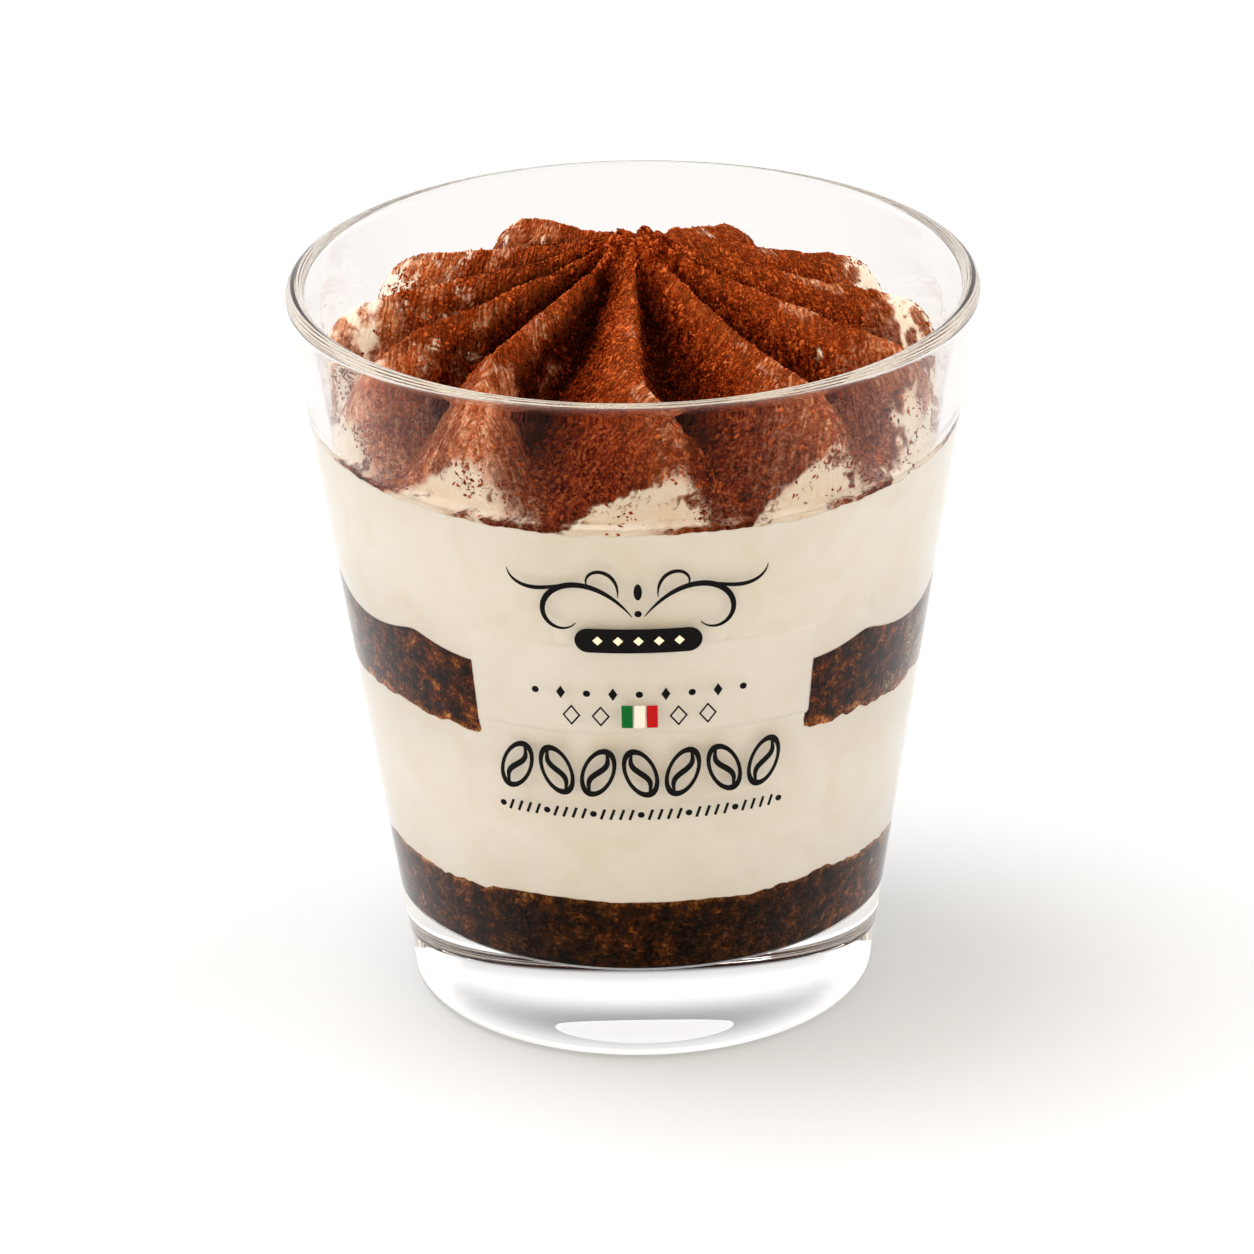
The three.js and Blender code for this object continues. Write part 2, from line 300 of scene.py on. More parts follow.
def lattice(cell, seed):
    """A repeatable number from -1 to 1 for each cell of a cubic lattice."""
    mixed = (cell[:, 0] * 73856093) ^ (cell[:, 1] * 19349663) ^ (cell[:, 2] * 83492791) ^ (seed * 40503)
    mixed = ((mixed & 0xFFFFFFFF) * 2246822519) & 0xFFFFFFFF
    mixed = ((mixed ^ (mixed >> 15)) * 3266489917) & 0xFFFFFFFF
    return ((mixed ^ (mixed >> 13)) & 65535) / 32767.5 - 1


LATTICE_TURN = np.array(Quaternion((0.8, 0.3, 0.4, 0.35)).normalized().to_matrix())


def lumps(points, size, octaves=3, seed=0):
    """Smooth lumps of about that size in millimetres, about -1 to 1, at each point."""
    total = np.zeros(len(points))
    place = np.asarray(points, float) / size + seed
    for octave in range(octaves):
        place = place @ LATTICE_TURN
        cell = np.floor(place).astype(np.int64)
        share = place - cell
        share = share**3 * (share * (share * 6 - 15) + 10)
        for corner in range(8):
            step = np.array([corner & 1, corner >> 1 & 1, corner >> 2])
            weight = np.prod(np.where(step == 1, share, 1 - share), axis=1)
            total += weight * lattice(cell + step, seed * 7 + octave) / 2**octave
        place = place * 2
    return total


def smoothstep(x, low, high):
    t = np.clip((x - low) / (high - low), 0, 1)
    return t * t * (3 - 2 * t)


def waves(azimuth, phase):
    """Slow waves round the glass, about -1 to 1, which the layers' surfaces follow."""
    a = np.radians(azimuth + phase)
    return np.sin(2 * a) * 0.5 + np.sin(5 * a + 1) * 0.3 + np.sin(9 * a + 2) * 0.15


def lower_sponge_top(azimuth):
    return LOWER_SPONGE_TOP + 0.8 * waves(azimuth, 25) - 0.3 * np.sin(np.radians(azimuth))


def food_blank(name, rows, turns):
    """A closed ball, and for each vertex its ring, counted from below, and its azimuth in degrees."""
    bpy.ops.mesh.primitive_grid_add(x_subdivisions=turns, y_subdivisions=rows, size=2, calc_uvs=False)
    made = bpy.context.active_object
    made.name = made.data.name = name
    flat = read_points(made)
    height = np.radians(flat[:, 1] * 90)
    write_points(made, around(flat[:, 0] * 180, np.cos(height), np.sin(height)))
    bpy.ops.object.mode_set(mode="EDIT")
    bpy.ops.mesh.select_all(action="SELECT")
    bpy.ops.mesh.remove_doubles(threshold=1e-5)
    bpy.ops.object.mode_set(mode="OBJECT")
    co = read_points(made)
    ring = np.rint((np.degrees(np.arcsin(np.clip(co[:, 2], -1, 1))) + 90) / 180 * rows).astype(int)
    azimuth = np.degrees(np.arctan2(co[:, 0], -co[:, 1]))
    return made, ring, azimuth


def read_points(piece):
    co = np.zeros(len(piece.data.vertices) * 3)
    piece.data.vertices.foreach_get("co", co)
    return co.reshape(-1, 3)


def write_points(piece, co):
    piece.data.vertices.foreach_set("co", np.asarray(co, np.float32).ravel())
    piece.data.update()
    bpy.ops.object.shade_smooth()


def around(azimuth, r, z):
    """Points in millimetres from azimuth, radius and height."""
    a = np.radians(azimuth)
    return np.stack([r * np.sin(a), -r * np.cos(a), z + 0 * a], axis=1)


def store(piece, name, values):
    """Keeps one number a vertex, for the material to read."""
    layer = piece.data.attributes.new(name, "FLOAT", "POINT")
    layer.data.foreach_set("value", np.asarray(values, np.float32))


def broken_edge(place, depth, size, seed):
    """How far the torn edge of a layer of sponge wanders up and down, in millimetres."""
    return depth * lumps(place, size, 3, seed) + 0.16 * lumps(place, 0.9, 2, seed + 1)


def crumb_relief(place, seed):
    """How far the open crumb stands out or in at the wall, in millimetres."""
    return 0.17 * lumps(place, 1.5, 3, seed) + 0.08 * lumps(place, 0.6, 2, seed + 1)


# The wall and the floor of the glass as the sponge meets them: a point of the profile for each row. It lies
# on the floor with a little air under it, also round its lower edge, and is pressed close against the wall.
FLOOR_SHARES = [0, 0.3, 0.6, 0.85, 0.98]
floor_rows = [(s * fillet_r, BASE + AIR_UNDER_SPONGE) for s in FLOOR_SHARES]
floor_rows += arc((fillet_r, fillet_z), FLOOR_FILLET - AIR_UNDER_SPONGE, -85, -48, 5)
fillet_rows = arc((fillet_r, fillet_z), FLOOR_FILLET + SPONGE_SINK, -42, -TAPER, 7)
wall_rows = np.linspace(0, 1, WALL_ROWS + 1)[1:]
top_rows = [0.985, 0.96, 0.8, 0.4, 0]
rows = len(floor_rows) + len(fillet_rows) + len(wall_rows) + len(top_rows) - 1
lower_sponge, ring, azimuth = food_blank("soaked_sponge_lower", rows, SPONGE_TURNS)

ragged = broken_edge(around(azimuth, 27.5, np.zeros(len(azimuth))), 0.34, 2.6, 1)
ragged *= smoothstep(np.abs(azimuth + 5), 16, 40) * 0.8 + 0.2
top = lower_sponge_top(azimuth) + ragged
r, z = np.zeros(len(ring)), np.zeros(len(ring))
first_wall = len(floor_rows) + len(fillet_rows)
first_top = first_wall + len(wall_rows)
for j in range(rows + 1):
    at = ring == j
    if j < first_wall:
        r[at], z[at] = (floor_rows + fillet_rows)[j]
    elif j < first_top:
        z[at] = fillet_z + wall_rows[j - first_wall] * (top[at] - fillet_z)
        r[at] = inner_wall(z[at]) + SPONGE_SINK
    else:
        share = top_rows[j - first_top]
        z[at] = top[at] * share + (1 - share) * LOWER_SPONGE_TOP + (0.25 if share > 0.9 else 0)
        r[at] = share * (inner_wall(z[at]) - 0.2)
place = around(azimuth, r, z)
on_wall = (ring >= len(floor_rows) + 2) & (ring < first_top)
near_top = smoothstep(top - z, 0.0, 0.5)
r += np.clip(crumb_relief(place, 3), DEEPEST_PORE, 0.3) * near_top * on_wall
write_points(lower_sponge, around(azimuth, r, z) * MM)
# The lower layer's crumb is lighter towards the left and right.
aside = smoothstep(np.abs(azimuth), 24, 62)
store(lower_sponge, "lighter_crumb", np.clip(0.75 * aside + 0.3 * lumps(place, 6, 2, 28), 0, 1))
store(lower_sponge, "edge", 1 - smoothstep(top - z, 0.0, 0.9))


def cream_smears(azimuth, place, side):
    """Where a film of cream has been drawn over the crumb at the wall, towards the left and the right."""
    beside = smoothstep(np.abs(azimuth), 44, 74) * (1 - smoothstep(np.abs(azimuth), 84, 125))
    patches = smoothstep(lumps(place * [1, 1, 0.7], 2.6, 3, side) + beside, 0.8, 1.7)
    return patches * smoothstep(beside, 0, 0.3)


store(lower_sponge, "smear", cream_smears(azimuth, place, 38))

# Sponge cake soaked in coffee: an open, fibrous crumb a millimetre or two across, wet and nearly black at
# the bottom of the glass, where the coffee settles, amber higher up, lighter towards the left and right in
# the lower layer, and a little lighter along a broken edge, with small pale specks of painted glint and a
# streaky film of cream where it was drawn over the crumb.
WET_SHADES = [(0.36, "#100500"), (0.46, "#240E01"), (0.55, "#442003"), (0.64, "#743E0A"), (0.76, "#AC6C22")]
AMBER_SHADES = [(0.38, "#160600"), (0.46, "#401902"), (0.54, "#7A3808"), (0.62, "#B86216"), (0.72, "#ECB468")]
FIBRE_SHADES = [(0.38, "#1C1C1C"), (0.5, "#808080"), (0.62, "#F4F4F4")]
GLINT_SPECK = "#DCA868"
CREAM_FILM = "#F2CF9E"
soaked_sponge, tree, crumb = new_finish("coffee_soaked_sponge", 0.5, 0.03)
where = node(tree, "TexCoord").outputs["Object"]
in_mm = node(tree, "Mapping", {"Vector": where, "Scale": (1000, 1000, 1000)})
soak_look = {"Scale": 0.6, "Detail": 6, "Roughness": 0.75, "Distortion": 0.3}
soak = node(tree, "TexNoise", {"Vector": in_mm, **soak_look})
edge_mark = node(tree, "Attribute", attribute_name="edge").outputs["Fac"]
wetness = node(tree, "Math", {0: edge_mark, 1: 0.12, 2: soak}, operation="MULTIPLY_ADD")
soaked_through = node(tree, "ValToRGB", {0: wetness}, stops=WET_SHADES)
amber_crumb = node(tree, "ValToRGB", {0: wetness}, stops=AMBER_SHADES)
lighter_crumb = node(tree, "Attribute", attribute_name="lighter_crumb").outputs["Fac"]
soaked = node(tree, "Mix", {0: lighter_crumb, 6: soaked_through, 7: amber_crumb}, data_type="RGBA")
fibre_look = {"Scale": 3.1, "Detail": 4, "Roughness": 0.78, "Distortion": 0.5}
fibre = node(tree, "TexNoise", {"Vector": in_mm, **fibre_look})
fibres = node(tree, "ValToRGB", {0: fibre}, stops=FIBRE_SHADES)
toned = node(tree, "Mix", {0: 0.88, 6: soaked, 7: fibres}, data_type="RGBA", blend_type="OVERLAY")
# Painted glints: small pale specks scattered over the crumb.
glint_look = {"Scale": 2.9, "Detail": 3, "Roughness": 0.8, "Distortion": 0.4}
glint_noise = node(tree, "TexNoise", {"Vector": in_mm, **glint_look})
glint_mask = node(tree, "ValToRGB", {0: glint_noise}, stops=[(0.64, "#000000"), (0.70, "#B4B4B4")])
speckled = node(tree, "Mix", {0: glint_mask, 6: toned, 7: colour(GLINT_SPECK)}, data_type="RGBA")
smear_mark = node(tree, "Attribute", attribute_name="smear").outputs["Fac"]
streaky = node(tree, "Math", {0: fibre, 1: 5.0, 2: -2.0}, operation="MULTIPLY_ADD")
smear_dose = node(tree, "Math", {0: smear_mark, 1: streaky}, operation="MULTIPLY")
smear_share = node(tree, "MapRange", {0: smear_dose, 1: 0.25, 4: 0.7})
filmed_crumb = node(tree, "Mix", {0: smear_share, 6: speckled, 7: colour(CREAM_FILM)}, data_type="RGBA")
pores = node(tree, "Bump", {"Strength": 0.8, "Distance": 0.3 * MM, "Height": fibre})
feed(crumb, {"Base Color": filmed_crumb, "Normal": pores})
keep(lower_sponge, soaked_sponge, "sponge_bottom")

# --------------------------------------------------------------------------------------------------
# Lower cream
# --------------------------------------------------------------------------------------------------
# Whipped mascarpone cream, piped over the lower sponge and pressed flat against the wall by the layers
# above it. Behind the print it is smeared up over the broken underside of the upper sponge.

UPPER_SPONGE_BOTTOM = 39.9
PANEL_LIFT = 1.1
CREAM_SINK = 0.10
SMEAR_SINK = 0.55
LOWER_CREAM_ROWS = 44
LOWER_CREAM_TURNS = 320
# Where the rings of a layer's upper and lower side lie, as shares of its radius.
CAPS = [0, 0.35, 0.7, 0.93, 0.985]


def upper_sponge_bottom(azimuth):
    from_front = np.abs(np.mod(azimuth + 180, 360) - 180)
    behind_panel = 1 - smoothstep(from_front, 22, 40)
    uneven = 0.7 * waves(azimuth, -20) - 0.8 * np.sin(np.radians(azimuth)) + PANEL_LIFT * behind_panel
    return UPPER_SPONGE_BOTTOM + uneven


def layer(name, rows, turns, bottom, top, sink):
    """A layer from wall to wall between two uneven surfaces, sunk into the wall as far as sink says."""
    made, ring, azimuth = food_blank(name, rows + 2 * len(CAPS) - 1, turns)
    low, high = bottom(azimuth), top(azimuth)
    middle_low, middle_high = low.mean(), high.mean()
    r, z = np.zeros(len(ring)), np.zeros(len(ring))
    for j in range(rows + 2 * len(CAPS)):
        at = ring == j
        if j < len(CAPS):
            z[at] = middle_low + CAPS[j] * (low[at] - middle_low)
            r[at] = CAPS[j] * inner_wall(z[at])
        elif j < len(CAPS) + rows:
            z[at] = low[at] + (j - len(CAPS)) / (rows - 1) * (high[at] - low[at])
            r[at] = inner_wall(z[at]) + sink(azimuth[at], z[at])
        else:
            share = CAPS[2 * len(CAPS) + rows - 1 - j]
            z[at] = middle_high + share * (high[at] - middle_high)
            r[at] = share * inner_wall(z[at])
    return made, ring, azimuth, r, z


def smeared(azimuth, z):
    """Where this cream is smeared up over the edge of the sponge above, at the front."""
    edge = upper_sponge_bottom(azimuth)
    return (1 - smoothstep(np.abs(azimuth - 0.9), 34.4, 35.2)) * smoothstep(z - edge, -7, -0.8)


lower_cream, ring, azimuth, r, z = layer(
    "mascarpone_lower",
    LOWER_CREAM_ROWS,
    LOWER_CREAM_TURNS,
    lambda a: lower_sponge_top(a) - 1.1,
    lambda a: upper_sponge_bottom(a) + 2.0,
    lambda a, h: CREAM_SINK + (SMEAR_SINK - CREAM_SINK) * smeared(a, h),
)
place = around(azimuth, r, z)
r += 0.03 * lumps(place, 7, 2, 5) * (ring >= len(CAPS))
write_points(lower_cream, around(azimuth, r, z) * MM)

# Whipped mascarpone: dense, satin and faintly yellow, so pale that its shadows stay light and warm.
CREAM_SHADES = [(0.30, "#F5F1E6"), (0.50, "#F8F6EF"), (0.72, "#FAFAF5")]
mascarpone, tree, whipped = new_finish("whipped_mascarpone", 0.5, 0.3)
where = node(tree, "TexCoord").outputs["Object"]
in_mm = node(tree, "Mapping", {"Vector": where, "Scale": (1000, 1000, 1000)})
streaks = node(tree, "TexNoise", {"Vector": in_mm, "Scale": 0.12, "Detail": 3, "Distortion": 1.2})
shades = node(tree, "ValToRGB", {0: streaks}, stops=CREAM_SHADES)
grain = node(tree, "TexNoise", {"Vector": in_mm, "Scale": 1.6, "Detail": 3})
fine = node(tree, "Bump", {"Strength": 0.15, "Distance": 0.06 * MM, "Height": grain})
feed(whipped, {"Base Color": shades, "Normal": fine})
keep(lower_cream, mascarpone, "cream_lower")

# --------------------------------------------------------------------------------------------------
# Upper sponge
# --------------------------------------------------------------------------------------------------
# The second layer of soaked sponge. Its underside is broken and crumbly,
# and the lobes of cream above it press scallops into its upper side.

UPPER_SPONGE_TOP = 49.6
SCALLOP_DEPTH = 2.4
SCALLOP_FIRST_CUSP = -48.5
CUSP_SOFTNESS = 0.05
LOBES = 11
LOBE_PITCH = 360 / LOBES
UPPER_SPONGE_ROWS = 36


def along_lobe(azimuth):
    """How far across its lobe of cream an azimuth lies, from 0 at the left cusp to 1 at the right one."""
    return np.mod(azimuth - SCALLOP_FIRST_CUSP, LOBE_PITCH) / LOBE_PITCH


def upper_sponge_top(azimuth):
    lobe = (np.sin(np.pi * along_lobe(azimuth)) ** 2 + CUSP_SOFTNESS) ** 0.3
    scallop = SCALLOP_DEPTH * (0.45 - lobe)
    return UPPER_SPONGE_TOP + 0.6 + scallop - 0.7 * np.sin(np.radians(azimuth))


def broken_underside(azimuth):
    at_wall = around(azimuth, 29.6, np.full(len(azimuth), 40.0))
    return upper_sponge_bottom(azimuth) + broken_edge(at_wall, 0.36, 2.4, 6)


upper_sponge, ring, azimuth, r, z = layer(
    "soaked_sponge_upper",
    UPPER_SPONGE_ROWS,
    SPONGE_TURNS,
    broken_underside,
    lambda a: upper_sponge_top(a) + 0.8,
    lambda a, h: SPONGE_SINK,
)
place = around(azimuth, r, z)
on_wall = (ring >= len(CAPS)) & (ring < len(CAPS) + UPPER_SPONGE_ROWS)
above_edge = z - broken_underside(azimuth)
r += np.clip(crumb_relief(place, 8), DEEPEST_PORE, 0.14) * smoothstep(above_edge, 0.0, 0.5) * on_wall
write_points(upper_sponge, around(azimuth, r, z) * MM)
store(upper_sponge, "lighter_crumb", np.clip(0.85 + 0.3 * lumps(place, 6, 2, 29), 0, 1))
store(upper_sponge, "edge", 1 - smoothstep(above_edge, 0.2, 1.3))
store(upper_sponge, "smear", cream_smears(azimuth, place, 39))
keep(upper_sponge, soaked_sponge, "sponge_middle")

# --------------------------------------------------------------------------------------------------
# Upper cream
# --------------------------------------------------------------------------------------------------
# Lobes of mascarpone cream that hang over the sponge at the wall and meet
# in soft creases. The rosette stands on it, and hides its upper side.

UPPER_CREAM_TOP = 68.1
FRONT_DIP = 1.5
LOBE_SINK = 0.60
CREASE_DEPTH = 0.30
CREASE_WIDTH = 0.55
UPPER_CREAM_ROWS = 72
UPPER_CREAM_TURNS = 660


def upper_cream_top(azimuth):
    return UPPER_CREAM_TOP - FRONT_DIP * np.cos(np.radians(azimuth)) + 0.4 * waves(azimuth, 70)


def lobe_sink(azimuth, z):
    """The lobes reach further into the wall than the sponge, less at the crease between two of them."""
    from_cusp = np.abs(np.mod(along_lobe(azimuth) + 0.5, 1) - 0.5) * np.radians(LOBE_PITCH) * 31
    above = z - upper_sponge_top(azimuth)
    depth = CREASE_DEPTH * np.exp(-((from_cusp / CREASE_WIDTH) ** 2))
    return LOBE_SINK - depth * smoothstep(above, 1.0, 2.2) * (1 - smoothstep(above, 2.2, 7.0))


def ragged_edge(azimuth):
    """The line at the wall where the cocoa and the rosette end and this cream begins."""
    at_wall = around(azimuth, 33.6, np.full(len(azimuth), 67.0))
    return upper_cream_top(azimuth) + 0.16 * lumps(at_wall, 1.4, 3, 10)


upper_cream, ring, azimuth, r, z = layer(
    "mascarpone_upper",
    UPPER_CREAM_ROWS,
    UPPER_CREAM_TURNS,
    upper_sponge_top,
    ragged_edge,
    lobe_sink,
)
place = around(azimuth, r, z)
r += 0.04 * lumps(place, 6, 2, 11) * (ring >= len(CAPS))
write_points(upper_cream, around(azimuth, r, z) * MM)
keep(upper_cream, mascarpone, "cream_upper")

# --------------------------------------------------------------------------------------------------
# Rosette
# --------------------------------------------------------------------------------------------------
# A rosette of the same cream, piped in one go with a star nozzle: eleven ridges that fall from the peak,
# lean over their right flanks and end in rounded noses at the wall. Cocoa powder is sifted over it, thick
# in the valleys, thin on the crests and missing on the noses' steep faces.

ROSETTE_REACH = 33.0
ROSETTE_FOOT = 68.0
TURN_START = 22.0
STEEP_SHARE_INSIDE = 0.3
STEEP_SHARE_AT_WALL = 0.4
ROUNDING_FROM = 20.0
ROUNDING_TO = 31.0
LEFT_STEPS = 34
RIGHT_STEPS = 26
SLOPE_ROWS = 136
SKIRT_ROWS = 8
UNDER_ROWS = 3
FLARE_FROM = 1.1
FLARE_TO = 0.35
WALL_GAP = 0.15
# Each ridge: azimuth, turn of its outer end, further or shorter reach, how much lower its end lies, the
# radius from which its end has stayed bare, and how thinly its right flank is dusted.
RIDGES = [
    (0, 7, -0.6, 0, 36, 0.35),
    (36, 3, -0.6, 0.2, 36, 0.55),
    (68, 3, 0, 0.8, 31.4, 0.3),
    (97, 1, 0.7, 1.5, 27.6, 0.3),
    (124, 0, -0.6, 1, 27.4, 0.3),
    (157, 1, -2.4, 0.4, 28.6, 0.25),
    (204, 2, -0.6, -0.4, 28.2, 0.3),
    (236, 1, 0, 0.3, 27.4, 0.35),
    (265, 3, 0.9, 0.4, 28.0, 0.4),
    (292, 5, 0.2, 0.3, 31.2, 0.35),
    (320, 8, -0.8, 0, 36, 1.0),
]
# Points of (radius, height) along a crest and along a valley, from the peak to the foot.
CREST = [
    (0, 87.6), (2.6, 87.2), (6, 85.8), (10, 84.5), (16, 83), (22, 81.6),
    (27, 80.4), (30.5, 79), (32.4, 76.6), (33.2, 73), (33, 68),
]
VALLEY = [
    (0, 87.6), (2.2, 86.8), (4.6, 84), (8, 80.6), (13, 77), (18.5, 74),
    (24, 71.6), (28.5, 69.8), (31.2, 68.9), (32.5, 68.4), (33, 68),
]
# The height up to which a nose is bare, at places across it from its left valley (-1) to its right one (1).
NOSE_LINE = [
    (-1, 66.2), (-0.8, 68.2), (-0.4, 70.9), (-0.05, 72.7), (0.12, 72.9), (0.3, 71.2), (0.55, 68), (1, 66.4),
]


def flowing(points, t):
    """A smooth curve through points, t from 0 at the first to 1 at the last."""
    p = np.array([points[0], *points, points[-1]], float)
    at = np.clip(t, 0, 1) * (len(points) - 1)
    i = np.minimum(at.astype(int), len(points) - 2)
    f = (at - i)[:, None]
    a, b, c, d = p[i], p[i + 1], p[i + 2], p[i + 3]
    v0, v1 = (c - a) / 2, (d - b) / 2
    return (2 * b - 2 * c + v0 + v1) * f**3 + (-3 * b + 3 * c - 2 * v0 - v1) * f**2 + v0 * f + b


ridge_steps = LEFT_STEPS + RIGHT_STEPS
below = SKIRT_ROWS + UNDER_ROWS
turns = ridge_steps * len(RIDGES)
rosette, ring, azimuth = food_blank("piped_rosette", SLOPE_ROWS + below, turns)
turn = np.rint(np.mod(azimuth, 360) / 360 * turns).astype(int) % turns
ridge = turn // ridge_steps
step = turn % ridge_steps
# The columns run from the valley left of a crest (-1) to the valley right of it (1), closest on the crest.
spread = np.where(step < LEFT_STEPS, step / LEFT_STEPS - 1, (step - LEFT_STEPS) / RIGHT_STEPS)
across = np.sign(spread) * np.abs(spread) ** 1.25
table = np.array([RIDGES[i % len(RIDGES)] for i in range(-1, len(RIDGES) + 1)], float)
table[0, 0] -= 360
table[-1, 0] += 360
mine, left, right = table[ridge + 1], table[ridge], table[ridge + 2]
along = np.clip((SLOPE_ROWS + below - ring) / SLOPE_ROWS, 0, 1)
crest, valley = flowing(CREST, along), flowing(VALLEY, along)
rounding = smoothstep(valley[:, 0], ROUNDING_FROM, ROUNDING_TO)
leaning = np.where(across < 0, 1 - np.abs(across) ** 1.15, (1 - np.maximum(across, 0)) ** 1.45)
height = leaning + rounding * (np.cos(np.pi / 2 * across) ** 1.6 - leaning)
r = valley[:, 0] + (crest[:, 0] - valley[:, 0]) * height
z = valley[:, 1] + (crest[:, 1] - valley[:, 1]) * height
outward = smoothstep(r, TURN_START, ROSETTE_REACH)
steep_share = STEEP_SHARE_INSIDE + (STEEP_SHARE_AT_WALL - STEEP_SHARE_INSIDE) * outward
crests = [row[:, 0] + row[:, 1] * outward for row in (left, mine, right)]
left_valley = crests[0] + steep_share * (crests[1] - crests[0])
right_valley = crests[1] + steep_share * (crests[2] - crests[1])
azimuth = crests[1] + np.abs(across) * (np.where(across < 0, left_valley, right_valley) - crests[1])
outer = (1 - np.abs(across)) * smoothstep(r, 10, 30)
r *= 1 + outer * mine[:, 2] / ROSETTE_REACH
z -= mine[:, 3] * outer * smoothstep(z, ROSETTE_FOOT, ROSETTE_FOOT + 8)

# Below its foot it swells out against the wall, down to the cream under it.
foot_line = upper_cream_top(azimuth) - 0.5
skirt = np.clip((below - ring) / SKIRT_ROWS, 0, 1)
in_skirt = ring < below
z = np.where(in_skirt, z + skirt * (foot_line - z), z)
flare = 1 - smoothstep(z - upper_cream_top(azimuth), FLARE_TO, FLARE_FROM)
r += flare * (inner_wall(z) + 0.5 - r)
r *= np.minimum(ring / UNDER_ROWS, 1)
place = around(azimuth, r, z)
write_points(rosette, place * MM)
normals = np.zeros(len(rosette.data.vertices) * 3)
rosette.data.vertex_normals.foreach_get("vector", normals)
normals = normals.reshape(-1, 3)

# Cocoa lies where it could land. A nose stays white under a line that rises from the valley on its left to
# its tip, with a sharp edge on that side and a coat that thickens slowly on the other.
line = np.interp(across, *zip(*NOSE_LINE))
line = line + 0.7 * lumps(place, 2.0, 3, 12) + 0.35 * lumps(place, 0.7, 2, 13)
fuzz = 0.6 + 3.2 * smoothstep(across, -0.15, 0.35)
bare_nose = smoothstep((line - z) / fuzz, -1, 1) * smoothstep(r, 26.5, 29.5)
# Under that line a film of dust lies in patches that thin
# out over a few millimetres, most of it on the right.
caught = smoothstep(lumps(place, 1.5, 3, 33), -0.15, 0.55) * (0.3 + 0.7 * smoothstep(across, -0.25, 0.3))
dusty = 0.95 * caught * (1 - smoothstep(line - z, 0.3, 5.0))
# The outer ends of the ridges at the sides and behind,
# where less powder fell, crossed by streaks that did stick.
patch = r + 1.1 * lumps(place, 2.6, 3, 23) + 0.5 * lumps(place, 1.0, 2, 24)
stuck = smoothstep(lumps(place * [1, 1, 0.45], 1.5, 3, 25), -0.05, 0.4)
bare_end = smoothstep(patch - mine[:, 4], 0, 1.3) * (1 - 0.85 * stuck)
low_in_front = smoothstep(r, 24, 27.5) * smoothstep(80 - z, 0, 3) * smoothstep(-place[:, 1], 4, 12)
bare_end *= 1 - 0.9 * low_in_front * smoothstep(across, -0.4, 0.0)
# A few soft spots where the powder has come off.
from_front = np.abs(np.mod(mine[:, 0] + 180, 360) - 180)
spot = lumps(place * [1, 1, 0.7], 1.8, 2, 14)
bare_spot = smoothstep(spot, 0.7, 1.0) * smoothstep(r, 14, 24) * smoothstep(from_front, 30, 80)
bare_spot *= 1 - smoothstep(r, 25, 27.5)
# Powder thins on the steep right flanks, where the sifted grains slide off in streaks, and along the
# crests; in patches on the left it is thinner and painted lighter, standing in for the light from that
# side.
flank = smoothstep(across, 0.04, 0.16) * (1 - smoothstep(across, 0.55, 0.9)) * mine[:, 5]
streak = lumps(np.stack([r * 0.9, azimuth * 0.35, z * 0.22], axis=1), 1.2, 3, 15)
thin = smoothstep(streak, -0.35, 0.8) * flank * smoothstep(r, 9, 17) * (1 - smoothstep(r, 27, 30))
crest_line = 1 - smoothstep(np.abs(across - 0.04), 0.05, 0.30)
worn = smoothstep(lumps(place, 2.6, 3, 16), -0.3, 0.5) * crest_line * smoothstep(r, 10, 21)
leftward = smoothstep(-place[:, 0], 9, 22) * smoothstep(-place[:, 1], -22, -8)
mottled = smoothstep(lumps(place * [1, 1, 0.7], 1.5, 3, 30), -0.1, 0.6) * leftward
# Low down less powder fell, least of all at the sides, and the crests are rubbed down to a film in fine
# ripples. The film low down is laid on more on the left than on the right, as painted light from that side.
low_down = smoothstep(r, 22, 27.5) * smoothstep(80.5 - z, 0, 3)
aside = smoothstep(-place[:, 0], 4, 18) * 0.56 + smoothstep(place[:, 0], 4, 18) * 0.42
rubbed = np.clip(crest_line * smoothstep(r, 25, 30) * (0.75 + 0.5 * lumps(place, 1.6, 2, 35)), 0, 1)
thinned = (1 - 0.6 * thin) * (1 - 0.75 * worn) * (1 - 0.35 * mottled) * (1 - aside * low_down)
filmed_zone = np.clip(2.4 * aside * low_down, 0, 1)
thinned = np.maximum(thinned * (1 - 0.5 * rubbed), 0.44 - 0.18 * filmed_zone)
dusted_part = (1 - bare_nose) * (1 - bare_end) * (1 - 0.85 * bare_spot)
cover = np.maximum(thinned * dusted_part, np.clip(dusty, 0, 1) * bare_nose)
film = np.clip(filmed_zone + rubbed + thin + 1.3 * worn, 0, 1) * dusted_part
# In the crease between a nose and the wall it has gathered
# in a ragged line, from under the nose to the right.
over_foot = z - upper_cream_top(azimuth) + 0.3 * lumps(place, 0.8, 2, 36)
crease = (1 - smoothstep(over_foot, 0.35, 0.9)) * smoothstep(across, -0.35, 0.1)
crease *= smoothstep(lumps(place, 2.2, 2, 37), -0.95, -0.25)
cover = np.maximum(cover, 0.75 * crease)
film = np.maximum(film, crease)

# Painted shade: the powder is darkened nearly to black deep in the valleys and on the flanks over them,
# less on the left, where the light falls. Painted highlight: the crests are lighter.
deep_left = smoothstep(-across, 0.25, 1.0)
deep_right = smoothstep(across, 0.03, 0.3)
near_wall = smoothstep(r, 24, 30)
painted_valley_shade = np.where(across < 0, deep_left, deep_right) * (1 - 0.75 * near_wall) * smoothstep(r, 1.5, 7)
painted_valley_shade = np.clip(painted_valley_shade * (0.95 + 0.25 * lumps(place, 4.0, 2, 26)), 0, 1)
painted_valley_shade *= (1 - 0.7 * smoothstep(-place[:, 0], 12, 24)) * (1 - 0.85 * film) * (1 - 0.7 * crease)
crest_band = (1 - smoothstep(np.abs(across), 0.1, 0.5)) * smoothstep(r, 3, 10)

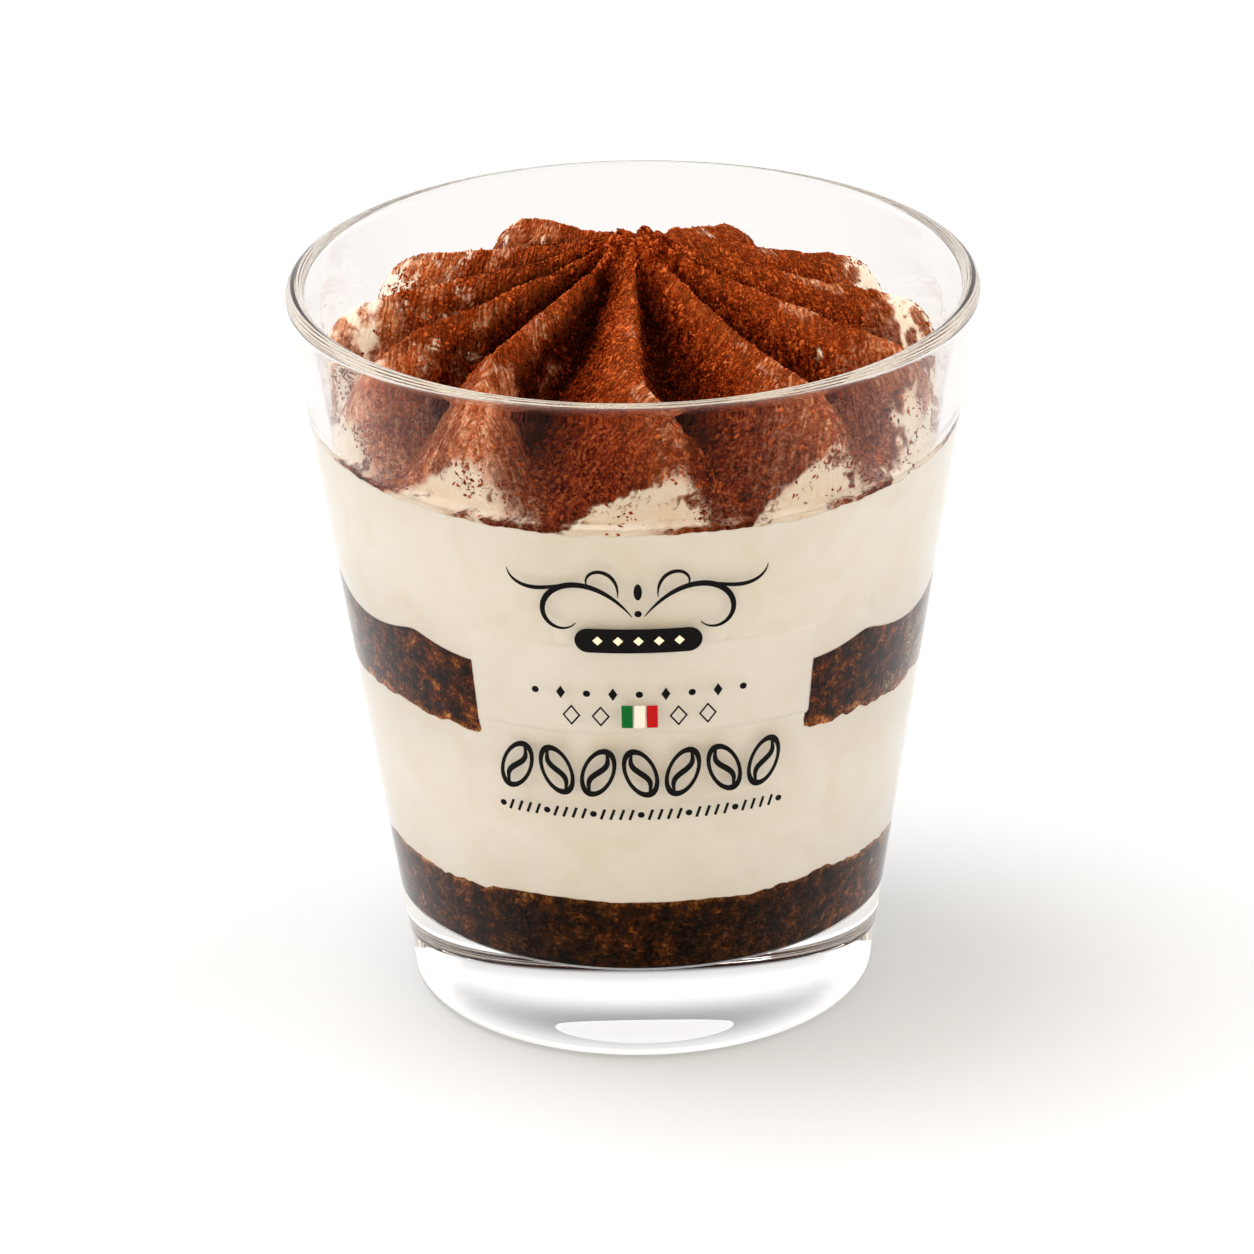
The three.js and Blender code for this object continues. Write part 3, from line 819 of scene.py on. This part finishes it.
# The coat is lumpy where it is thick, and the cream under it is soft and a little uneven.
clumps = 0.13 * lumps(place, 2.0, 2, 17) + 0.30 * lumps(place, 1.0, 2, 18)
soft = 0.20 * lumps(place, 5.5, 2, 19) * smoothstep(r, 3, 10)
soft = soft + 0.2 * lumps(place, 1.7, 2, 27) * smoothstep(-r, -7, -2)
lift = (clumps * (0.1 + 0.9 * cover) * (1 - 0.45 * crest_band) + soft) * (1 - flare) * (~in_skirt)
place = place + normals * lift[:, None]
# Nothing above the foot passes the inner wall; the foot itself is pressed against it.
reach = np.hypot(place[:, 0], place[:, 1])
most = inner_wall(place[:, 2]) - WALL_GAP + (0.5 + WALL_GAP) * flare
place[:, :2] *= (np.minimum(reach, most) / np.maximum(reach, 1e-6))[:, None]
write_points(rosette, place * MM)
from_crest = np.abs(across) * np.abs(np.where(across < 0, left_valley, right_valley) - crests[1])
marks = {
    "cocoa": cover,
    "film": film,
    "crest": crest_band,
    "painted_valley_shade": painted_valley_shade,
    "run": r - 0.55 * np.radians(from_crest) * r,
    "flank": np.radians(from_crest) * r,
}
for mark, values in marks.items():
    store(rosette, mark, values)

# Alkalised cocoa powder sifted over the cream: dull, deep red-brown, clotted into grains under half a
# millimetre, with painted shade nearly black in the valleys, a painted highlight on the crests, and a
# pinkish film where it is thin. The powder's own grains are far finer than these clots.
COCOA_SHADES = [(0.36, "#220500"), (0.46, "#621802"), (0.54, "#983009"), (0.66, "#CA6428")]
STAINED_AND_BOUNCE_SHADES = [(0.30, "#F4E6D0"), (0.50, "#F8EEDD"), (0.72, "#FBF4E8")]
FILM_SHADES = [(0.34, "#96401A"), (0.46, "#BC6236"), (0.56, "#D68A5E"), (0.66, "#F0C4A2")]
RIPPLE = 0.62
dusted_cream, tree, dusted = new_finish("cocoa_dusted_mascarpone", 0.9, 0.02)
where = node(tree, "TexCoord").outputs["Object"]
in_mm = node(tree, "Mapping", {"Vector": where, "Scale": (1000, 1000, 1000)})
marked = {mark: node(tree, "Attribute", attribute_name=mark).outputs["Fac"] for mark in marks}
clot_look = {"Scale": 1.7, "Detail": 5, "Roughness": 0.68, "Distortion": 1.3}
clot = node(tree, "TexNoise", {"Vector": in_mm, **clot_look})
# Drawn out into short strokes across the ridges, as the cream under the
# powder was dragged by the nozzle's teeth, and different from ridge to ridge.
stroke_run = node(tree, "Math", {0: marked["run"], 1: 1.9}, operation="MULTIPLY")
stroke_flank = node(tree, "Math", {0: marked["flank"], 1: 0.55}, operation="MULTIPLY")
own_part = node(tree, "VectorMath", {0: where, 1: (130, 170, 0)}, operation="DOT_PRODUCT").outputs["Value"]
at_stroke = node(tree, "CombineXYZ", {0: stroke_run, 1: stroke_flank, 2: own_part})
stroke_look = {"Scale": 1.0, "Detail": 5, "Roughness": 0.66, "Distortion": 0.5}
strokes = node(tree, "TexNoise", {"Vector": at_stroke, **stroke_look})
both = node(tree, "Math", {0: clot, 1: strokes}, operation="ADD")
coarse = node(tree, "Math", {0: both, 1: 0.82, 2: -0.32}, operation="MULTIPLY_ADD")
powder = node(tree, "ValToRGB", {0: coarse}, stops=COCOA_SHADES)
# Painted shade darkens the valleys nearly to black, and a painted highlight lightens the crests.
for mark, most, shade in (("painted_valley_shade", 0.9, "#200600"), ("crest", 0.30, "#C46430")):
    share = node(tree, "MapRange", {0: marked[mark], 4: most})
    powder = node(tree, "Mix", {0: share, 6: powder, 7: colour(shade)}, data_type="RGBA")
# Cream under the powder, warmer than in the glass: stained by the powder, and with painted bounce light
# from the cocoa.
cream_tint = node(tree, "TexNoise", {"Vector": in_mm, "Scale": 0.3, "Detail": 2})
stained_and_bounce_lit = node(tree, "ValToRGB", {0: cream_tint}, stops=STAINED_AND_BOUNCE_SHADES)
speck = node(tree, "TexNoise", {"Vector": in_mm, "Scale": 1.8, "Detail": 5, "Roughness": 0.75})
lower = node(tree, "Math", {0: speck, 1: 0.5}, operation="SUBTRACT")
spread_out = node(tree, "Math", {0: lower, 1: 1.35}, operation="MULTIPLY")
# Fine ripples along a ridge, a little shaken, where its crest is rubbed.
shake = node(tree, "TexNoise", {"Vector": in_mm, "Scale": 0.8, "Detail": 2})
shaken = node(tree, "Math", {0: shake, 1: 1.3, 2: marked["run"]}, operation="MULTIPLY_ADD")
ripple_angle = node(tree, "Math", {0: shaken, 1: math.tau / RIPPLE}, operation="MULTIPLY")
ripple = node(tree, "Math", {0: ripple_angle}, operation="SINE")
ripples = node(tree, "Math", {0: ripple, 1: marked["crest"]}, operation="MULTIPLY")
rippled = node(tree, "Math", {0: ripples, 1: 0.06, 2: marked["cocoa"]}, operation="MULTIPLY_ADD")
dose = node(tree, "Math", {0: rippled, 1: spread_out}, operation="ADD")
filmed = node(tree, "MapRange", {0: dose, 1: 0.2, 2: 0.62})
grains = node(tree, "MapRange", {0: dose, 1: 0.3, 2: 0.8})
either = node(tree, "Math", {0: filmed, 1: marked["film"]}, operation="MAXIMUM")
thin_film = node(tree, "ValToRGB", {0: coarse}, stops=FILM_SHADES)
filmy = node(tree, "Mix", {0: either, 6: stained_and_bounce_lit, 7: thin_film}, data_type="RGBA")
mixed = node(tree, "Mix", {0: grains, 6: filmy, 7: powder}, data_type="RGBA")
clot_height = node(tree, "MapRange", {0: marked["crest"], 3: 3.2, 4: 1.6})
relief_sum = node(tree, "Math", {0: coarse, 1: clot_height, 2: ripples}, operation="MULTIPLY_ADD")
on_coat = node(tree, "MapRange", {0: grains, 3: 0.12})
felted = node(tree, "Math", {0: relief_sum, 1: on_coat}, operation="MULTIPLY")
grain_bump = node(tree, "Bump", {"Strength": 1.0, "Distance": 0.28 * MM, "Height": felted})
feed(dusted, {"Base Color": mixed, "Normal": grain_bump})
keep(rosette, dusted_cream, "cream_rosette")

# --------------------------------------------------------------------------------------------------
# Cocoa crumbs and grains
# --------------------------------------------------------------------------------------------------
# Clotted cocoa powder on the rosette, in crumbs, clots and single coarse grains, and a scatter of specks on
# the bare noses. Each kind is one mesh of small irregular lumps half sunk in the coat.

CRUMB_FACES = 20
GRAIN_FACES = 8


def scatter(count, density, seed):
    """Points on the rosette, more where density is higher, with the normals there and a shade that carries
    the painted valley shade and crest highlight.
    """
    mesh = rosette.data
    mesh.calc_loop_triangles()
    corners = np.zeros(len(mesh.loop_triangles) * 3, int)
    mesh.loop_triangles.foreach_get("vertices", corners)
    corners = corners.reshape(-1, 3)
    a, b, c = (place[corners[:, k]] for k in range(3))
    facing = np.cross(b - a, c - a)
    area = np.linalg.norm(facing, axis=1) / 2
    weight = area * density[corners].mean(axis=1)
    draw = np.random.default_rng(seed)
    chosen = draw.choice(len(corners), count, p=weight / weight.sum())
    u, v = draw.random((2, count))
    u, v = np.where(u + v > 1, 1 - u, u), np.where(u + v > 1, 1 - v, v)
    at = a[chosen] + u[:, None] * (b - a)[chosen] + v[:, None] * (c - a)[chosen]
    # Painted light: crumbs are darker in the painted valley shade and lighter on the painted crest
    # highlight, and lighter where the coat is a film.
    crest_light_and_film = 0.12 * crest_band + 0.2 * film
    shade = 0.62 - 0.55 * painted_valley_shade[corners[chosen]].mean(axis=1) + crest_light_and_film[corners[chosen]].mean(axis=1)
    return at, facing[chosen] / (2 * area[chosen, None] + 1e-12), shade, draw


def crumb_blank(face_count):
    """One crumb: its vertices and faces. The finer ones are made from a cone by pulling its base out."""
    if face_count == CRUMB_FACES:
        bpy.ops.mesh.primitive_ico_sphere_add(subdivisions=1, radius=1)
    else:
        bpy.ops.mesh.primitive_cone_add(vertices=4, radius1=1, depth=2, end_fill_type="TRIFAN")
    blank = bpy.context.active_object
    points = read_points(blank)
    if face_count == GRAIN_FACES:
        points[np.hypot(points[:, 0], points[:, 1]) > 0.5, 2] = 0
    faces = [list(face.vertices) for face in blank.data.polygons]
    bpy.data.objects.remove(blank)
    return points, faces


def new_piece(name, points, faces):
    """A new object from points in millimetres."""
    mesh = bpy.data.meshes.new(name)
    mesh.from_pydata((points * MM).tolist(), [], faces)
    made = bpy.data.objects.new(name, mesh)
    bpy.context.scene.collection.objects.link(made)
    return made


def crumbs(name, face_count, spots_on, smallest, largest, flatness, sunk):
    """One lump for each point, of its own size, sunk into the coat and lying mostly across its ridge."""
    points, faces = crumb_blank(face_count)
    at, facing, shade, draw = spots_on
    count = len(at)
    outwards = at * [1, 1, 0] / np.hypot(at[:, :1], at[:, 1:2])
    side = np.cross(facing, outwards + 0.45 * draw.normal(size=(count, 3)))
    side /= np.linalg.norm(side, axis=1)[:, None]
    other = np.cross(facing, side)
    size = smallest + (largest - smallest) * draw.random(count) ** 2.2
    long, wide = size * draw.uniform(0.9, 1.8, count) / 2, size * draw.uniform(0.55, 0.9, count) / 2
    high = size * flatness / 2
    rough = 1 + draw.uniform(-0.28, 0.28, (count, len(points), 1))
    shape = points[None] * rough
    spots = (
        at[:, None]
        + shape[:, :, 0:1] * (side * long[:, None])[:, None]
        + shape[:, :, 1:2] * (other * wide[:, None])[:, None]
        + (shape[:, :, 2:3] + 1 - 2 * sunk) * (facing * high[:, None])[:, None]
    )
    offsets = np.arange(count) * len(points)
    joined = (np.array(faces)[None] + offsets[:, None, None]).reshape(-1, len(faces[0]))
    made = new_piece(name, spots.reshape(-1, 3), joined.tolist())
    made.data.polygons.foreach_set("use_smooth", np.ones(len(made.data.polygons), bool))
    store(made, "tone", np.repeat(shade + draw.uniform(-0.36, 0.36, count), len(points)))
    return made


# The same powder, clotted: each clot has its own shade, as some hold more fat and are darker, and carries
# the painted valley shade and the painted crest highlight.
CLOT_SHADES = [(0.0, "#220600"), (0.3, "#581904"), (0.6, "#90330B"), (0.95, "#C66430")]
clotted_powder, tree, clotted = new_finish("clotted_cocoa_powder", 0.9, 0.02)
own_tone = node(tree, "Attribute", attribute_name="tone").outputs["Fac"]
feed(clotted, {"Base Color": node(tree, "ValToRGB", {0: own_tone}, stops=CLOT_SHADES)})

crowd = smoothstep(lumps(place, 1.3, 2, 21), -0.6, 0.5) * 0.85 + 0.15
coated = smoothstep(cover, 0.45, 0.9) * (~in_skirt) * (1 - flare)
patchy = smoothstep(lumps(place, 3.4, 2, 22), -0.3, 0.6)
near_line = (0.15 + smoothstep(z - line, -5.5, 0.0)) * (0.35 + smoothstep(across, -0.35, 0.25))
freckled = (1 - smoothstep(cover, 0.3, 0.75)) * patchy * near_line * (z > ROSETTE_FOOT - 1.3)
# Each kind: faces of a lump, how many, where they lie, seed, smallest and largest size in millimetres,
# flatness, and the share of it that is sunk into the coat.
kinds = {
    "cocoa_crumbs": (CRUMB_FACES, 8200, coated * crowd * (1 - 0.8 * crest_band), 31, 0.28, 0.64, 0.6, 0.42),
    "cocoa_clots": (GRAIN_FACES, 24500, coated * crowd, 32, 0.20, 0.42, 0.72, 0.38),
    "cocoa_grains": (GRAIN_FACES, 24500, coated, 33, 0.12, 0.28, 0.8, 0.3),
    "cocoa_specks": (GRAIN_FACES, 8000, freckled, 34, 0.14, 0.50, 0.4, 0.3),
}
for name, (face_count, count, density, seed, smallest, largest, flatness, sunk) in kinds.items():
    spots_on = scatter(count, density, seed)
    keep(crumbs(name, face_count, spots_on, smallest, largest, flatness, sunk), clotted_powder)

# --------------------------------------------------------------------------------------------------
# Printed panel
# --------------------------------------------------------------------------------------------------
# An opaque block of cream-coloured ceramic ink, fired into the glass, which hides the upper sponge behind
# the print. It is a fiftieth of a millimetre thick.

PANEL_FROM = -34.5
PANEL_TO = 36.3
PANEL_BOTTOM = 41.6
PANEL_TOP = 53.5
PANEL_DEPTH = 1.40
PANEL_TUCK = 0.5
PANEL_THICKNESS = 0.02


def thicken(piece, thickness, offset):
    """Gives a film its thickness in millimetres."""
    bpy.ops.object.modifier_add(type="SOLIDIFY")
    piece.modifiers["Solidify"].thickness = thickness * MM
    piece.modifiers["Solidify"].offset = offset
    bpy.ops.object.modifier_apply(modifier="Solidify")


bpy.ops.mesh.primitive_grid_add(x_subdivisions=120, y_subdivisions=24, size=2)
panel = bpy.context.active_object
panel.name = panel.data.name = "panel_ink"
flat = read_points(panel)
azimuth = PANEL_FROM + (flat[:, 0] + 1) / 2 * (PANEL_TO - PANEL_FROM)
z = PANEL_BOTTOM + (flat[:, 1] + 1) / 2 * (PANEL_TOP - PANEL_BOTTOM)
# Its border turns back into the food, so that no edge of it stands free.
border = np.abs(flat[:, :2]).max(axis=1) > 0.999
write_points(panel, around(azimuth, outer_wall(z) - PANEL_DEPTH - PANEL_TUCK * border, z) * MM)
thicken(panel, PANEL_THICKNESS, -1)

# Ceramic ink, screen printed and fired: opaque, even, and of the shade of the cream.
INK_SHADES = [(0.30, "#F7F6EF"), (0.50, "#F9F9F4"), (0.72, "#FBFBF9")]
panel_ink, tree, ink = new_finish("ceramic_ink_cream", 0.5, 0.3)
where = node(tree, "TexCoord").outputs["Object"]
in_mm = node(tree, "Mapping", {"Vector": where, "Scale": (1000, 1000, 1000)})
cloud = node(tree, "TexNoise", {"Vector": in_mm, "Scale": 0.12, "Detail": 3, "Distortion": 1.2})
feed(ink, {"Base Color": node(tree, "ValToRGB", {0: cloud}, stops=INK_SHADES)})
keep(panel, panel_ink, "label_panel")

# --------------------------------------------------------------------------------------------------
# Print
# --------------------------------------------------------------------------------------------------
# Plain ornament in black ceramic ink on the outside of the glass: a pair of scrolls, a rounded bar with
# lozenges, a row of dots, three small fields of colour, a frieze of coffee beans and a dashed rule. The ink
# is about a hundredth of a millimetre thick.

INK_FILM = 0.012
BAR_HEIGHT = 54.1
BAR_TALL = 3.0
BAR_HALF = 6.9
DOTS_HEIGHT = 47.4
DOT_PITCH = 2.85
FIELDS_HEIGHT = 44.6
FIELD_WIDE = 1.2
FIELD_TALL = 2.8
FIELD_PITCH = 1.35
BEANS = 7
BEAN_PITCH = 4.6
BEAN_HEIGHT = 37.4
BEAN_WIDE = 3.6
BEAN_TALL = 6.5
BEAN_LEAN = math.radians(20)
RULE_HEIGHT = 32.1
DASH_PITCH = 1.04


def stroke(points, width):
    """The two edges of a pen stroke along points of (place along the wall, height)."""
    points = np.asarray(points, float)
    run = np.gradient(points, axis=0)
    run /= np.linalg.norm(run, axis=1)[:, None]
    aside = np.stack([-run[:, 1], run[:, 0]], axis=1) * np.broadcast_to(width, len(points))[:, None] / 2
    return points + aside, points - aside


def scroll(start, heading, bend_from, bend_to, length, thick, side):
    """A pen stroke, thickest midway, bending by bend_from degrees a millimetre at first, then bend_to."""
    t = np.linspace(0, 1, 60)
    step = length / (len(t) - 1)
    angle = np.radians(heading + np.cumsum(bend_from + (bend_to - bend_from) * t**1.5) * step)
    path = np.cumsum(np.stack([np.cos(angle), np.sin(angle)], axis=1), axis=0) * step + start
    return stroke(path * (side, 1), thick * (0.14 + 0.86 * np.sin(np.pi * t) ** 0.9))


def lean_over(points, lean):
    """Points turned by an angle."""
    return points @ np.array([[math.cos(lean), math.sin(lean)], [-math.sin(lean), math.cos(lean)]])


def ring_of(corners, centre, lean, width):
    """A closed outline of that pen width, or filled without one, turned by lean and put at its centre."""
    share = 0 if width is None else 1 - 2 * width / min(np.ptp(corners, axis=0))
    return lean_over(corners, lean) + centre, lean_over(corners, lean) * share + centre


def oval(centre, across, tall, lean=0, width=None):
    turn = np.linspace(0, math.tau, 33)
    corners = np.stack([across / 2 * np.cos(turn), tall / 2 * np.sin(turn)], axis=1)
    return ring_of(corners, centre, lean, width)


def lozenge(centre, across, tall, width=None):
    corners = np.array([(1, 0), (0, 1), (-1, 0), (0, -1), (1, 0)]) * (across / 2, tall / 2)
    return ring_of(corners, centre, 0, width)


def inked(name, patches, lift, material):
    """Patches of ink, each given by its two edges, as one thin film that far off the wall."""
    spots, faces = [], []
    for one, other in patches:
        first, count = len(spots), len(one)
        spots += [*one, *other]
        faces += [(i, i + 1, i + count + 1, i + count) for i in range(first, first + count - 1)]
    spots = np.array(spots)
    wall = outer_wall(spots[:, 1])
    made = new_piece(name, around(np.degrees(spots[:, 0] / wall), wall + lift, spots[:, 1]), faces)
    bpy.context.view_layer.objects.active = made
    made.select_set(True)
    bpy.ops.object.mode_set(mode="EDIT")
    bpy.ops.mesh.select_all(action="SELECT")
    bpy.ops.mesh.remove_doubles(threshold=1e-6)
    bpy.ops.mesh.normals_make_consistent(inside=False)
    bpy.ops.object.mode_set(mode="OBJECT")
    thicken(made, INK_FILM, 0)
    bpy.ops.object.mode_set(mode="EDIT")
    bpy.ops.mesh.select_all(action="SELECT")
    bpy.ops.mesh.normals_make_consistent(inside=False)
    bpy.ops.object.mode_set(mode="OBJECT")
    keep(made, material)


black = [oval((0, 60.2), 0.9, 2.0), oval((0, 57.5), 0.8, 0.8)]
for side in (-1, 1):
    black.append(scroll((0.5, 56.9), 56, -4, -33, 18, 0.7, side))
    black.append(scroll((2.2, 59.4), 100, -14, -60, 7, 0.45, side))
    black.append(scroll((6.8, 61.2), -14, -2, 30, 8.5, 0.5, side))
    black += [lozenge((side * place_of, FIELDS_HEIGHT), 2.0, 2.6, 0.25) for place_of in (4.2, 7.4)]
end = BAR_TALL / 2 * (1 - np.cos(np.linspace(0, np.pi / 2, 9)))
straight = np.linspace(-BAR_HALF + BAR_TALL / 2, BAR_HALF - BAR_TALL / 2, 13)[1:-1]
bar = np.concatenate([-BAR_HALF + end, straight, BAR_HALF - end[::-1]])
inset = np.clip(1 - (BAR_HALF - np.abs(bar)) / (BAR_TALL / 2), 0, 1)
level_line = np.stack([bar, np.full(len(bar), BAR_HEIGHT)], axis=1)
black.append(stroke(level_line, BAR_TALL * np.sqrt(1 - inset**2)))
for i in range(-4, 5):
    dot = (i * DOT_PITCH, DOTS_HEIGHT)
    black.append(lozenge(dot, 1.0, 1.6) if i % 2 else oval(dot, 0.8, 0.8))
for i in range(BEANS):
    side = 1 if i % 2 else -1
    centre = ((i - (BEANS - 1) / 2) * BEAN_PITCH, BEAN_HEIGHT)
    black.append(oval(centre, BEAN_WIDE, BEAN_TALL, BEAN_LEAN * side, 0.42))
    t = np.linspace(-1, 1, 25)
    seam = lean_over(np.stack([side * -0.55 * np.sin(np.pi * t), 2.7 * t], axis=1), BEAN_LEAN * side)
    black.append(stroke(seam + centre, 0.2 + 0.5 * np.cos(np.pi / 2 * t) ** 0.8))
for i in range(-15, 16):
    s = i * DASH_PITCH
    dash = [(s - 0.22, RULE_HEIGHT - 0.65), (s + 0.22, RULE_HEIGHT + 0.65)]
    black.append(stroke(dash, 0.32) if i % 5 else oval((s, RULE_HEIGHT), 0.75, 0.75))


def field(s):
    return stroke([(s - FIELD_WIDE / 2, FIELDS_HEIGHT), (s + FIELD_WIDE / 2, FIELDS_HEIGHT)], FIELD_TALL)


lozenges = [lozenge((i * 2.2, BAR_HEIGHT), 1.1, 1.1) for i in range(-2, 3)]
prints = [
    ("print_black", "#070605", black, 0.010),
    ("print_lozenges", "#F2E4CA", lozenges, 0.026),
    ("print_green", "#045C26", [field(-FIELD_PITCH)], 0.010),
    ("print_white", "#DCD6D0", [field(0)], 0.010),
    ("print_red", "#A60E10", [field(FIELD_PITCH)], 0.010),
]
# Ceramic inks, screen printed and fired: opaque and satin.
for name, shade, patches, lift in prints:
    fired, tree, ink = new_finish(name.replace("print", "ceramic_ink"), 0.4, 0.08)
    feed(ink, {"Base Color": colour(shade)})
    inked(name, patches, lift, fired)
